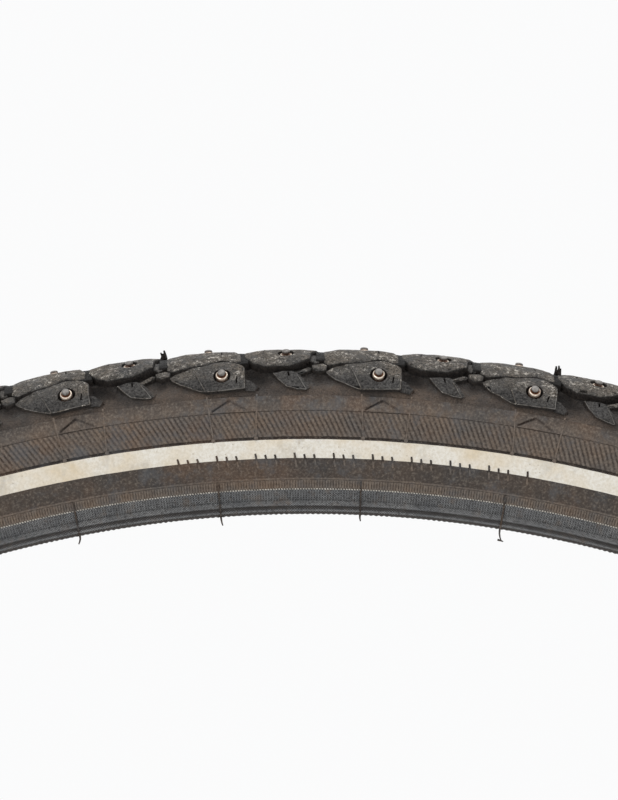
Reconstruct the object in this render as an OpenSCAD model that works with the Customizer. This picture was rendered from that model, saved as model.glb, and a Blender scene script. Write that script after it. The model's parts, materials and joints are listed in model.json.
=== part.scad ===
// Studded winter bicycle tyre, 32-622, off the rim, in its relaxed moulded shape.
// The axle is the Y axis and the front sidewall faces -Y. The flat sections are drawn as
// [distance from the axle, distance in front of the centre plane] and revolved round the axle.

/* [Fit] */
// Diameter of the rim's bead seat
bead_seat_d = 622; // [559:1:630]
// Half the width across the outside of the casing
half_width = 16; // [15.6:0.1:16.6]
// Height of the widest point above the bead seat
belly_height = 26; // [25.6:0.1:26.4]

/* [Tread] */
// Number of times the tread pattern repeats round the tyre
pitches = 54; // [50:1:55]
// How far the pattern is turned to the right of the top, in pitches
pattern_turn = 0.444; // [0:0.001:1]
// Radius of the arc that the block tops lie on
crown_r = 18.2; // [17.8:0.1:18.6]
// Height of that arc's centre above the bead seat
crown_height = 24.3; // [24:0.1:24.6]
// Thickness of the tread rubber between the blocks
cap_t = 1.3; // [1:0.1:1.4]
// Height above the bead seat where tread rubber meets sidewall rubber
wing_height = 27.2; // [26.8:0.1:28]

/* [Studs] */
// Angle of the centre studs from the centre plane
centre_lean = 16; // [14:1:18]
// Angle of the shoulder studs from the centre plane
shoulder_lean = 47; // [45:1:49]
// Diameter of a stud's shank
shank_d = 3.2; // [2.8:0.1:3.4]
// Diameter of a stud's flange
flange_d = 4.6; // [4.2:0.1:4.8]
// Diameter of a stud's hard metal pin
pin_d = 2.1; // [1.6:0.1:2.2]
// How far a pin stands out of its block
pin_proud = 1.3; // [0.8:0.1:1.5]

/* [Casing] */
// Thickness of each casing ply
ply_t = 0.4; // [0.35:0.05:0.4]
// Thickness of the puncture belt
belt_t = 0.8; // [0.6:0.1:0.9]
// Diameter of the steel bead wire
wire_d = 2; // [1.6:0.1:2]

/* [Hidden] */
$fn = 96;
bead_r = bead_seat_d / 2;
pitch_angle = 360 / pitches;
reach = 60;                        // longer than the whole section

// Outer surface: a crown arc on two flank arcs that leave it at the widest point
flank_r = 66;
flank_out = half_width - flank_r;

// Groove floor between the blocks: a flatter arc than the block tops
floor_r = 19;
floor_height = 20.3;
floor_drop = crown_height - floor_height;

// Inner surface, made the same way
casing_t = 2 * ply_t;
liner_height = 21.3;
liner_r = half_width - 2.3;
liner_flank_r = 28.35;
liner_centre = [bead_r + liner_height, liner_r - liner_flank_r];

// Bead wire: the plies' flank arc runs down past its inner side
wire_r = wire_d / 2;
wire_height = 3;
wire_way = liner_flank_r + casing_t + wire_r;
wire_centre = [
    bead_r + wire_height,
    liner_centre[1] + sqrt(pow(wire_way, 2) - pow(liner_height - wire_height, 2))
];
way = wire_centre - liner_centre;
way_angle = atan2(way[1], way[0]);
// The turned-up plies leave the wire along the line that touches both it and the flank arc
turnup_angle = way_angle - acos((wire_way - 2 * wire_r) / wire_way);
turnup_heights = [9, 11];
filler_height = 9;
filler_gap = 0.14;                 // keeps the filler's straight side clear of the flank arc

// Heights above the bead seat on the outside
strip_height = 6.8;                // top edge of the rim strip
strip_inner_height = 9;            // the same on the inside
strip_t = 0.4;
line_height = 9.5;                 // fine raised line
line_proud = 0.25;
stripe_heights = [14.9, 19.75];
stripe_t = 0.35;
groove_height = 20.2;
groove_r = 0.25;

// Foot of the bead
toe_out = 7;
toe_r = 0.5;
heel_r = 1.3;
heel = [
    bead_r + heel_r,
    flank_out + sqrt(pow(flank_r - heel_r, 2) - pow(belly_height - heel_r, 2))
];

// Tread layers
belt_angle = 46;
belt_r = liner_r + casing_t;

// Block outlines, seen from outside along the block's lean: [along the tread, to the back]
centre_block = [[-9.8, -5.6], [-7.6, -9.4], [-4.7, -11.2], [1.9, -11.3], [4.7, -10.7],
                [7.2, -9.1], [7.5, -4.7], [9.9, 4.7], [9.9, 8.5], [8, 8.9], [4.7, 7.9],
                [0.5, 9.4], [-8, 9.4], [-9.5, 8.3]];
stud_block = [[-5.6, 2.4], [-3, 4.6], [0, 5.4], [3, 4.8], [6.2, 3], [6.3, -4.8], [-4.2, -5.3]];
ramp_block = [[-13.2, 1.6], [-4.6, 2.5], [-3.2, -5.2], [-9.4, -3.4], [-12.6, -0.3]];
step_block = [[5.3, -0.2], [6.3, -0.2], [9.3, -3.6], [8.2, -5.9], [5.3, -5.5]];
side_lug = [[-4.8, 2.6], [-1.3, -2.4], [3.7, -3.5], [5.2, -2.2], [2.4, 3.2]];
ramp_tilt = 6;
ramp_r = 17.3;
step_r = 16.6;
lug_r = 17;
// Where along one pitch each of them stands
centre_turn = 0.385;
centre_stud_turn = 0.41;
lug_turn = 0.46;
lug_lean = 53;

// Stud hole, from its block's top
collar_r = shank_d / 2 + 0.5;
collar_depth = 0.7;
body_proud = 0.5;
flange_t = 0.9;
seat_gap = 0.15;
pin_depth = 2;

function polar(r, angle) = r * [cos(angle), sin(angle)];

// ---- Sections ----

// Everything between two heights above the bead seat
module band(low, high)
    translate([bead_r + low, -reach]) square([high - low, 2 * reach]);

// The front half of everything
module front_half()
    translate([bead_r - reach, 0]) square([2 * reach, reach]);

module both_halves() {
    children();
    mirror([0, 1]) children();
}

// Filled outline of one surface of the tyre: a crown arc on two flank arcs
module bulb(height, r, side_r) {
    intersection() {
        translate([bead_r + height, 0]) circle(r);
        band(height, height + reach);
    }
    intersection() {
        translate([bead_r + height, r - side_r]) circle(side_r);
        translate([bead_r + height, side_r - r]) circle(side_r);
        band(-1, height);
    }
}
module outer_bulb(inset = 0)
    bulb(belly_height, half_width - inset, flank_r - inset);
module liner_bulb(out = 0)
    bulb(liner_height, liner_r + out, liner_flank_r + out);

// The part of the front half below the point where the plies' flank reaches the wire
module below_wire() intersection() {
    polygon([liner_centre, liner_centre + polar(reach, way_angle),
             liner_centre + polar(reach, 180), liner_centre + polar(reach, 225)]);
    front_half();
}

// Round the wire, from the turned-up side by way of the bead seat to the plies
module wrap(low, high) intersection() {
    translate(wire_centre) difference() {
        circle(high);
        circle(low);
    }
    span = 180 + way_angle - turnup_angle;
    polygon(concat([wire_centre], [
        for (t = [0 : 0.25 : 1]) wire_centre + polar(5, turnup_angle + t * span)
    ]));
}

// A turned-up strip beside the wire, between two distances from the wire's centre
module turn_up(low, high, top) intersection() {
    translate(wire_centre) rotate(turnup_angle - 90)
        translate([0, low]) square([reach, high - low]);
    band(0, top);
}

// One ply over the whole section, turned up round both wires
module ply_section(out, turn, top) {
    difference() {
        liner_bulb(out + ply_t);
        liner_bulb(out);
        both_halves() below_wire();
    }
    both_halves() {
        wrap(turn, turn + ply_t);
        turn_up(turn, turn + ply_t, top);
    }
}

module wire_section() translate(wire_centre) circle(wire_r);

// All the room between the wire, the plies' flank arc and the turned-up plies
module filler_room() difference() {
    intersection() {
        polygon([liner_centre, wire_centre, wire_centre + polar(wire_r, turnup_angle),
                 liner_centre + polar(liner_flank_r + casing_t, turnup_angle)]);
        band(0, filler_height);
    }
    translate(liner_centre) circle(liner_flank_r + casing_t);
    wire_section();
}

// Out to the turned-up plies at a height above the bead seat, and out to the flank arc
function turnup_out(height) =
    wire_centre[1] + (wire_r - (height - wire_height) * cos(turnup_angle)) / sin(turnup_angle);
function flank_side(height) =
    liner_centre[1] + sqrt(pow(liner_flank_r + casing_t + filler_gap, 2) - pow(liner_height - height, 2));

module filler_section() {
    foot = wire_height + wire_r + filler_gap;
    top = filler_height - filler_gap;
    polygon([[bead_r + foot, flank_side(foot)], [bead_r + foot, turnup_out(foot)],
             [bead_r + top, turnup_out(top)], [bead_r + top, flank_side(top)]]);
}

// What rim strip and sidewall are moulded round
module front_carcass() {
    difference() {
        liner_bulb(casing_t);
        below_wire();
    }
    wrap(0, wire_r + casing_t);
    turn_up(0, wire_r + ply_t, turnup_heights[0]);
    turn_up(0, wire_r + casing_t, turnup_heights[1]);
    filler_room();
    wire_section();
}

module rim_strip_section() difference() {
    intersection() {
        outer_bulb();
        band(0, strip_inner_height);
        translate([bead_r, toe_out]) square([reach, reach]);
    }
    liner_bulb(-strip_t);
    // Above its outside edge, only the skin on the inside is left
    difference() {
        band(strip_height, strip_inner_height + 1);
        liner_bulb();
    }
    front_carcass();
    // Corners that the toe and heel circles round off
    difference() {
        translate([bead_r, toe_out]) square(toe_r);
        translate([bead_r + toe_r, toe_out + toe_r]) circle(toe_r);
    }
    difference() {
        polygon([heel, [bead_r - 1, heel[1]], [bead_r - 1, heel[1] + 3],
                 heel + (heel - [bead_r + belly_height, flank_out]) / flank_r * 3]);
        translate(heel) circle(heel_r);
    }
}

module sidewall_section() difference() {
    union() {
        intersection() {
            outer_bulb();
            front_half();
            band(strip_height, wing_height);
        }
        // Fine raised line
        intersection() {
            outer_bulb(-line_proud);
            front_half();
            band(line_height - 0.15, line_height + 0.15);
        }
    }
    liner_bulb(casing_t);
    front_carcass();
    stripe_section();
    translate([bead_r + groove_height, half_width]) circle(groove_r);
}

module stripe_section() intersection() {
    difference() {
        outer_bulb();
        outer_bulb(stripe_t);
    }
    front_half();
    band(stripe_heights[0], stripe_heights[1]);
}

module belt_section() intersection() {
    difference() {
        translate([bead_r + liner_height, 0]) circle(belt_r + belt_t);
        translate([bead_r + liner_height, 0]) circle(belt_r);
    }
    translate([bead_r + liner_height, 0])
        polygon([[0, 0], polar(reach, -belt_angle), polar(reach, 0), polar(reach, belt_angle)]);
}

// Under the groove floor, to a depth below it
module floor_outline(depth = 0) intersection() {
    translate([bead_r + floor_height, 0]) circle(floor_r - depth);
    translate([bead_r + belly_height, 0]) circle(half_width - depth);
}

module cap_section() intersection() {
    difference() {
        floor_outline();
        floor_outline(cap_t);
    }
    band(wing_height, reach);
}

module base_section() difference() {
    intersection() {
        floor_outline(cap_t);
        band(wing_height, reach);
    }
    liner_bulb(casing_t);
    belt_section();
}

// ---- Placing ----

module ring() rotate([90, 0, 0]) rotate_extrude($fn = 180) children();

module on_back() mirror([0, 1, 0]) children();

// The back's pattern runs half a pitch behind the front's
module pattern_on_back()
    rotate([0, pitch_angle / 2, 0]) mirror([0, 1, 0]) children();

module round_the_tyre()
    for (i = [0 : pitches - 1])
        rotate([0, (i + pattern_turn) * pitch_angle, 0]) children();

// Frame on the crown arc's centre, turned along the pitch and leant over to the front
module on_tread(turn, lean)
    rotate([0, turn * pitch_angle, 0])
        translate([0, 0, bead_r + crown_height]) rotate([lean, 0, 0]) children();

// ---- Tread ----

// A straight length of tread rubber over the cap: arcs across the tyre, flat along it
module tread_bar(top_r) rotate([90, 0, 90]) linear_extrude(40, center = true) difference() {
    circle(top_r);
    translate([0, -bead_r - crown_height]) rotate(90) floor_outline();
}

module prism(outline, top = reach)
    translate([0, 0, 5]) linear_extrude(top - 5) polygon(outline);

// Distance of a stud's foot from the crown arc's centre
function seat(lean) =
    sqrt(pow(floor_r, 2) - pow(floor_drop * sin(lean), 2)) - floor_drop * cos(lean) + seat_gap;

module stud_hole(lean) {
    cylinder(h = seat(lean) + flange_t, d = flange_d);
    cylinder(h = reach, d = shank_d);
    translate([0, 0, crown_r - collar_depth]) cylinder(h = reach, r = collar_r);
}

module centre_block() difference() {
    intersection() {
        on_tread(centre_turn, 0) tread_bar(crown_r);
        on_tread(centre_turn, 0) prism(centre_block);
    }
    on_tread(centre_stud_turn, centre_lean) stud_hole(centre_lean);
}

module shoulder_block() difference() {
    intersection() {
        on_tread(0, 0) tread_bar(crown_r);
        on_tread(0, shoulder_lean) {
            prism(stud_block);
            translate([0, 0, ramp_r]) rotate([0, -ramp_tilt, 0])
                translate([0, 0, -ramp_r]) prism(ramp_block, ramp_r);
            prism(step_block, step_r);
        }
    }
    on_tread(0, shoulder_lean) stud_hole(shoulder_lean);
}

module side_lug() intersection() {
    on_tread(lug_turn, 0) tread_bar(lug_r);
    on_tread(lug_turn, lug_lean) prism(side_lug);
}

module stud_body(lean) difference() {
    union() {
        translate([0, 0, seat(lean)]) cylinder(h = flange_t, d = flange_d);
        translate([0, 0, seat(lean)])
            cylinder(h = crown_r + body_proud - seat(lean), d = shank_d);
    }
    translate([0, 0, crown_r + body_proud - pin_depth]) cylinder(h = reach, d = pin_d);
}

module stud_pin()
    translate([0, 0, crown_r + body_proud - pin_depth])
        cylinder(h = pin_depth + pin_proud - body_proud, d = pin_d);

// ---- Nodes ----

tread_grey = [0.19, 0.19, 0.2];
casing_tan = [0.55, 0.47, 0.34];
steel = [0.62, 0.6, 0.56];

module tread_cap() color([0.15, 0.13, 0.12]) ring() cap_section();
module tread_base() color([0.1, 0.1, 0.1]) ring() base_section();

module centre_blocks_front() color(tread_grey) round_the_tyre() centre_block();
module centre_blocks_back() color(tread_grey)
    round_the_tyre() pattern_on_back() centre_block();
module shoulder_blocks_front() color(tread_grey) round_the_tyre() shoulder_block();
module shoulder_blocks_back() color(tread_grey)
    round_the_tyre() pattern_on_back() shoulder_block();
module side_lugs_front() color(tread_grey) round_the_tyre() side_lug();
module side_lugs_back() color(tread_grey) round_the_tyre() pattern_on_back() side_lug();

module puncture_belt() color([0.1, 0.24, 0.42]) ring() belt_section();
module casing_ply_outer() color(casing_tan)
    ring() ply_section(ply_t, wire_r, turnup_heights[0]);
module casing_ply_inner() color(casing_tan)
    ring() ply_section(0, wire_r + ply_t, turnup_heights[1]);

module sidewall_front() color([0.24, 0.21, 0.19]) ring() sidewall_section();
module sidewall_back() on_back() sidewall_front();
module reflective_stripe_front() color([0.78, 0.76, 0.7]) ring() stripe_section();
module reflective_stripe_back() on_back() reflective_stripe_front();
module rim_strip_front() color([0.33, 0.35, 0.38]) ring() rim_strip_section();
module rim_strip_back() on_back() rim_strip_front();
module bead_wire_front() color(steel) ring() wire_section();
module bead_wire_back() on_back() bead_wire_front();
module bead_filler_front() color([0.12, 0.12, 0.12]) ring() filler_section();
module bead_filler_back() on_back() bead_filler_front();

module centre_stud_bodies_front() color(steel)
    round_the_tyre() on_tread(centre_stud_turn, centre_lean) stud_body(centre_lean);
module centre_stud_bodies_back() color(steel)
    round_the_tyre() pattern_on_back() on_tread(centre_stud_turn, centre_lean) stud_body(centre_lean);
module shoulder_stud_bodies_front() color(steel)
    round_the_tyre() on_tread(0, shoulder_lean) stud_body(shoulder_lean);
module shoulder_stud_bodies_back() color(steel)
    round_the_tyre() pattern_on_back() on_tread(0, shoulder_lean) stud_body(shoulder_lean);

module centre_stud_pins_front() color([0.5, 0.48, 0.45])
    round_the_tyre() on_tread(centre_stud_turn, centre_lean) stud_pin();
module centre_stud_pins_back() color([0.5, 0.48, 0.45])
    round_the_tyre() pattern_on_back() on_tread(centre_stud_turn, centre_lean) stud_pin();
module shoulder_stud_pins_front() color([0.5, 0.48, 0.45])
    round_the_tyre() on_tread(0, shoulder_lean) stud_pin();
module shoulder_stud_pins_back() color([0.5, 0.48, 0.45])
    round_the_tyre() pattern_on_back() on_tread(0, shoulder_lean) stud_pin();

tread_cap();
tread_base();
centre_blocks_front();
centre_blocks_back();
shoulder_blocks_front();
shoulder_blocks_back();
side_lugs_front();
side_lugs_back();
puncture_belt();
casing_ply_outer();
casing_ply_inner();
sidewall_front();
sidewall_back();
reflective_stripe_front();
reflective_stripe_back();
rim_strip_front();
rim_strip_back();
bead_wire_front();
bead_wire_back();
bead_filler_front();
bead_filler_back();
centre_stud_bodies_front();
centre_stud_bodies_back();
shoulder_stud_bodies_front();
shoulder_stud_bodies_back();
centre_stud_pins_front();
centre_stud_pins_back();
shoulder_stud_pins_front();
shoulder_stud_pins_back();
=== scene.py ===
"""Looks of a studded winter bicycle tyre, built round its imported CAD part.

Shapes are in millimetres until a mesh is made. A place on the tyre is one of three triples:
  tread (u, phi, rho): pitches round the tyre, degrees from the centre plane to the front, and
      distance from the centre of the arc that the block tops lie on
  side (u, h, out): pitches round, height above the bead seat, and distance out of the sidewall
  section (u, h, front): the same, with the distance in front of the centre plane
The pattern on the back is the front's, mirrored and half a pitch on.
"""

import json
import math

import bpy
import numpy as np
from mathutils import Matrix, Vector
from mathutils.geometry import delaunay_2d_cdt


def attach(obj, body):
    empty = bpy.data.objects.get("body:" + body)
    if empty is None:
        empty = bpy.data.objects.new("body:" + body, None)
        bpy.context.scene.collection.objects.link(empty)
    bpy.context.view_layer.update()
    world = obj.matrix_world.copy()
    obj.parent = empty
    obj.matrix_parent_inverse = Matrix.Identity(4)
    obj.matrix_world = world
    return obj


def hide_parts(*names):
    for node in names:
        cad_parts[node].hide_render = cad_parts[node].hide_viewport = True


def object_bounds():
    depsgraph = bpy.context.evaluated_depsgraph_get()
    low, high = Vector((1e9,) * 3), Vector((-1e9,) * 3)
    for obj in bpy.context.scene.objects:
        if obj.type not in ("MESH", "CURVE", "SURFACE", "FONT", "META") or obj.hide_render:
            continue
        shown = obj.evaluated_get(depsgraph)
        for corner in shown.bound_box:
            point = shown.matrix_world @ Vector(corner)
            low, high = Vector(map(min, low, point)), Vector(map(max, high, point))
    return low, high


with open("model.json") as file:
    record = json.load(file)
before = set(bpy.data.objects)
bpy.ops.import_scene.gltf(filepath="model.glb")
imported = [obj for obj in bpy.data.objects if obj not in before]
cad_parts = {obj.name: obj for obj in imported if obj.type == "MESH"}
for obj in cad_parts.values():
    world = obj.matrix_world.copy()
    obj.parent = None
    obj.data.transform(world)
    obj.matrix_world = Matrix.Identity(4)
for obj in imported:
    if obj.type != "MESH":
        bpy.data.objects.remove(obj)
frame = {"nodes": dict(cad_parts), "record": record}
cad_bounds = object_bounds()

# ---- The tyre's section, as in the CAD ----

BEAD_R = frame["record"]["mounts"][0]["dims"]["r_mm"]
PITCHES = 54
PITCH = 2 * math.pi / PITCHES
PATTERN_TURN = 0.444
HALF_W = 16.0
BELLY = 26.0
FLANK_R = 66.0
CROWN_R, CROWN_H = 18.2, 24.3
FLOOR_R, FLOOR_H = 19.0, 20.3
PITCH_MM = (BEAD_R + CROWN_H + CROWN_R) * PITCH
SIDE_PITCH_MM = PITCH_MM * 0.95
DEGREE_MM = CROWN_R * math.pi / 180
SHOULDER_PHI = 66.0
SECTORS = 3
PLAIN_COLUMNS = 30

STRIPE = (14.9, 19.75)
STRIP_TOP = 6.8
BAND = (20.55, 27.0)


def flank(h):
    """Half the width of the outer surface at a height."""
    low = HALF_W - FLANK_R + np.sqrt(FLANK_R**2 - (BELLY - np.minimum(h, BELLY)) ** 2)
    high = np.sqrt(HALF_W**2 - (np.maximum(h, BELLY) - BELLY) ** 2)
    return np.where(h < BELLY, low, high)


def floor_rho(phi):
    """Distance of the groove floor from the crown arc's centre."""
    a = np.radians(phi)
    drop = CROWN_H - FLOOR_H
    crown = np.sqrt(FLOOR_R**2 - (drop * np.sin(a)) ** 2) - drop * np.cos(a)
    rise = BELLY - CROWN_H
    side = np.sqrt(HALF_W**2 - (rise * np.sin(a)) ** 2) + rise * np.cos(a)
    return np.minimum(crown, side)


def round_axle(u, r, front):
    """The point u pitches round, r from the axle, and so far in front of the centre plane."""
    turn = (u + PATTERN_TURN) * PITCH
    return np.stack([r * np.sin(turn), -front, r * np.cos(turn)], 1)


def from_tread(p):
    u, phi, rho = p.T
    a = np.radians(phi)
    return round_axle(u, BEAD_R + CROWN_H + rho * np.cos(a), rho * np.sin(a))


def from_side(p):
    u, h, out = p.T
    return round_axle(u, BEAD_R + h, flank(h) + out)


def from_section(p):
    u, h, front = p.T
    return round_axle(u, BEAD_R + h, front)


def noise(p, size, seed):
    """Smooth lattice noise from -1 to 1 at points in millimetres."""
    q = p / size + seed * 17.31
    cell = np.floor(q).astype(np.int64)
    f = q - cell
    f = f * f * (3 - 2 * f)
    total = np.zeros(len(p))
    for corner in np.ndindex(2, 2, 2):
        c = cell + corner
        h = (c[:, 0] * 374761393 + c[:, 1] * 668265263 + c[:, 2] * 2147483647) & 0x7FFFFFFF
        h = ((h ^ (h >> 13)) * 1274126177) & 0x7FFFFFFF
        value = (h ^ (h >> 16)) % 65536 / 32767.5 - 1
        weight = np.prod(np.where(corner, f, 1 - f), axis=1)
        total += value * weight
    return total


def smooth(x, low, high):
    """0 up to low, rising to 1 at high."""
    t = np.clip((x - low) / (high - low), 0, 1)
    return t * t * (3 - 2 * t)


def fade(x, low, high):
    """1 up to low, falling to 0 at high."""
    return smooth(-x, -high, -low)


def near(x, middle, reach, full):
    """1 within full of the middle, falling to 0 at reach from it."""
    return smooth(-np.abs(x - middle), -reach, -full)


def columns(first, count, per_pitch):
    """Even steps over count pitches from first."""
    return np.linspace(first, first + count, count * per_pitch + 1)


def from_column(u):
    """Pitches from the nearest stud block's column, -0.5 to 0.5."""
    return (u + 0.5) % 1 - 0.5


# ---- Patches: corners, faces and dust-and-shade values (soil, painted shade and painted highlights), in tyre places ----

MERGE_WITHIN = 1e-6
FOOT_SUNK = 0.4


class Patch:
    """place is from_tread, from_side or from_section, and says what the points' triples are."""

    def __init__(self, place, points, faces, dust):
        self.place = place
        self.points = np.asarray(points, float)
        self.faces = faces
        self.dust = np.full(len(self.points), dust, float)


def sheet(place, us, vs, shape, dust=0.5):
    """A grid over us and vs, where shape(u, v) gives each corner's place."""
    uu, vv = np.meshgrid(us, vs, indexing="ij")
    points = np.stack(shape(uu.ravel(), vv.ravel()), 1)
    rows = len(vs)
    i = np.arange((len(us) - 1) * (rows - 1))
    a = i // (rows - 1) * rows + i % (rows - 1)
    faces = np.stack([a, a + rows, a + rows + 1, a + 1], 1).tolist()
    if callable(dust):
        dust = dust(uu.ravel(), vv.ravel())
    return Patch(place, points, faces, dust)


def outward(patch):
    """Turns a patch's faces over if its places are left-handed tread ones."""
    if patch.place is from_tread:
        patch.faces = [f[::-1] for f in patch.faces]
    return patch


def inside(points, loop):
    """Which points lie inside a closed loop."""
    x, y = points[:, 0, None], points[:, 1, None]
    x0, y0 = loop[:, 0], loop[:, 1]
    x1, y1 = np.roll(x0, -1), np.roll(y0, -1)
    crosses = (y0 > y) != (y1 > y)
    rise = np.where(y1 == y0, 1, y1 - y0)
    return (crosses & (x < x0 + (y - y0) / rise * (x1 - x0))).sum(1) % 2 == 1


def dense(loop, cell):
    """A loop with its sides cut into steps no longer than cell."""
    out = []
    for a, b in zip(loop, np.roll(loop, -1, axis=0)):
        n = max(1, math.ceil(np.linalg.norm(b - a) / cell))
        out += [a + (b - a) * k / n for k in range(n)]
    return np.array(out)


def grown(loop, by):
    """An anticlockwise loop moved outwards, or inwards when by is negative."""
    side = np.roll(loop, -1, axis=0) - loop
    normal = np.stack([side[:, 1], -side[:, 0]], 1)
    normal /= np.linalg.norm(normal, axis=1)[:, None]
    both = normal + np.roll(normal, 1, axis=0)
    both /= np.maximum(np.linalg.norm(both, axis=1), 0.4)[:, None]
    stretch = 1 / np.maximum((both * normal).sum(1), 0.6)
    return loop + both * (by * stretch)[:, None]


def belt(a, b):
    """The faces between two rings of corner numbers."""
    return np.stack([a, np.roll(a, -1), np.roll(b, -1), b], 1).tolist()


def filling(rim, holes, cell):
    """Staggered points inside the rim, clear of it and of the holes."""
    low, high = rim.min(0) + cell / 2, rim.max(0)
    gx, gy = np.meshgrid(np.arange(low[0], high[0], cell), np.arange(low[1], high[1], cell))
    gx[::2] += cell / 2
    grid = np.stack([gx.ravel(), gy.ravel()], 1)
    clear = 0.45 * cell
    keep = inside(grid, grown(rim, -clear))
    for hole in holes:
        keep &= ~inside(grid, grown(hole, clear))
    return grid[keep]


def triangles(loops, grid):
    """Faces inside the first loop and outside the others, by number of the loops' and grid's points."""
    edges, start = [], 0
    for loop in loops:
        n = len(loop)
        edges += [(start + k, start + (k + 1) % n) for k in range(n)]
        start += n
    corners = [Vector(c) for c in np.concatenate([*loops, grid])]
    verts, _, tris, from_verts, _, _ = delaunay_2d_cdt(corners, edges, [], 0, MERGE_WITHIN)
    number = [f[0] if f else -1 for f in from_verts]
    spots = np.array([v[:] for v in verts])
    middles = np.array([spots[list(t)].mean(0) for t in tris])
    wanted = inside(middles, loops[0])
    for hole in loops[1:]:
        wanted &= ~inside(middles, hole)
    faces = [[number[c] for c in t] for t, want in zip(tris, wanted) if want]
    return [f for f in faces if min(f) >= 0]


def plateau(outline, top, bevel=0.35, draft=0.35, cell=1.1, holes=(), dust=1.0):
    """A block: a top face over an outline of (u, phi), rounded edges, walls and holes.

    top(x, s) gives rho, with x and s in millimetres along and across the tread.
    Each hole is (loop, [(grow, depth), ...], closed): rings down into the block.
    """
    scale = np.array([PITCH_MM, DEGREE_MM])
    loop = np.array(outline, float) * scale
    if np.cross(loop, np.roll(loop, -1, axis=0)).sum() < 0:
        loop = loop[::-1]
    loop = dense(loop, cell)
    flat, rho, paint, faces = [], [], [], []

    def ring(points, heights, value):
        start = sum(len(f) for f in flat)
        flat.append(points)
        rho.append(heights)
        paint.append(np.full(len(points), value))
        return np.arange(start, start + len(points))

    foot = grown(loop, draft)
    rings = [ring(foot, floor_rho(foot[:, 1] / DEGREE_MM) - FOOT_SUNK, 0.0)]
    # The wall's upper part and the rounded edge, each as (grow, depth, dust-and-shade value); the foot
    # and the walls get 0, painted shade
    for grow, depth, value in ((draft * 0.4, 1.3, 0.0), (0, bevel, 0.1),
                               (-0.3 * bevel, 0.3 * bevel, 0.8), (-bevel, 0, 1.0)):
        points = grown(loop, grow)
        rings.append(ring(points, top(*points.T) - depth, value))
    for a, b in zip(rings, rings[1:]):
        faces += belt(a, b)

    loops, owners = [flat[-1]], [rings[-1]]
    for hole, steps, closed in holes:
        # Each hole's rim gets 0.9 and the rings down into it get 0: painted shade inside the hole
        last = ring(hole, top(*hole.T), 0.9)
        loops.append(hole)
        owners.append(last)
        for grow, depth in steps:
            points = grown(hole, grow)
            down = ring(points, top(*points.T) - depth, 0.0)
            faces += belt(last, down)
            last = down
        if closed:
            faces.append(last.tolist())

    grid = filling(loops[0], loops[1:], cell)
    owners.append(ring(grid, top(*grid.T), 1.0))
    owner = np.concatenate(owners).tolist()
    faces += [[owner[c] for c in f] for f in triangles(loops, grid)]

    points = np.column_stack([np.concatenate(flat) / scale, np.concatenate(rho)])
    soil_and_shade = dust(points[:, 0], points[:, 1]) if callable(dust) else dust
    return outward(Patch(from_tread, points, faces, np.concatenate(paint) * soil_and_shade))


def bar(place, ends, width, height, base, dust, steps=6, fade_over=0.25):
    """A low ridge between two places on a surface at base, rising over a part of its length."""
    (u0, v0), (u1, v1) = ends
    across = np.array([-1, -0.55, 0, 0.55, 1])
    rise = np.array([-0.1, 0.75, 1, 0.75, -0.1])
    mm = np.array([SIDE_PITCH_MM, 1.0 if place is from_side else DEGREE_MM])
    way = np.array([u1 - u0, v1 - v0]) * mm
    way /= np.linalg.norm(way)
    normal = np.array([-way[1], way[0]]) / mm
    t = np.linspace(0, 1, steps)

    def shape(a, k):
        k = k.astype(int)
        taper = np.minimum(1, np.minimum(a, 1 - a) / fade_over + 0.15)
        u = u0 + (u1 - u0) * a + normal[0] * across[k] * width / 2
        v = v0 + (v1 - v0) * a + normal[1] * across[k] * width / 2
        foot = base(u, v) if callable(base) else base
        return u, v, foot + height * rise[k] * taper

    return outward(sheet(place, t, np.arange(5), shape, dust))


def round_faces(rings, sides):
    """Faces of a round piece whose first corner is its top, and whose rings follow it down."""
    faces = []
    for j in range(sides):
        m = (j + 1) % sides
        faces.append([0, 1 + j, 1 + m])
        for k in range(rings - 1):
            a, b = 1 + k * sides, 1 + (k + 1) * sides
            faces.append([a + j, b + j, b + m, a + m])
    return faces


def dome(u, h, radius, height, base, dust):
    """A low round bump on the sidewall."""
    rings, sides = 3, 10
    points = [(u, h, base + height)]
    for k in range(1, rings + 1):
        a = k / rings * math.pi / 2
        reach = radius * math.sin(a)
        out = base + height * math.cos(a) - (0.1 if k == rings else 0)
        for j in range(sides):
            b = j / sides * 2 * math.pi
            points.append((u + reach * math.cos(b) / PITCH_MM, h + reach * math.sin(b), out))
    return Patch(from_side, points, round_faces(rings, sides), dust)


# ---- Making objects ----


def make(name, patches, material, slot, angle=50, rough=0.0, seed=1):
    """One object from (patch, mirrored) pairs, roughened by some millimetres."""
    points, faces, dust, start = [], [], [], 0
    for p, mirrored in patches:
        xyz = p.place(p.points + [0.5 if mirrored else 0, 0, 0])
        if mirrored:
            xyz[:, 1] *= -1
        points.append(xyz)
        faces += [[c + start for c in (f[::-1] if mirrored else f)] for f in p.faces]
        dust.append(p.dust)
        start += len(xyz)
    xyz = np.concatenate(points)
    if rough:
        shift = np.stack([
            noise(xyz, 2.6, seed + k) * 0.65 + noise(xyz, 0.9, seed + k + 9) * 0.35
            for k in range(3)
        ], 1)
        xyz = xyz + rough * shift
    mesh = bpy.data.meshes.new(name)
    mesh.from_pydata((xyz / 1000).tolist(), [], faces)
    mesh.validate()
    # The dust attribute holds soil together with painted shade and painted highlights
    paint = mesh.attributes.new("dust", "FLOAT", "POINT")
    paint.data.foreach_set("value", np.concatenate(dust).astype(np.float32))
    mesh.shade_smooth()
    mesh.set_sharp_from_angle(angle=math.radians(angle))
    mesh.materials.append(material)
    ob = bpy.data.objects.new(name, mesh)
    bpy.context.collection.objects.link(ob)
    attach(ob, "root")
    return ob


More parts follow.
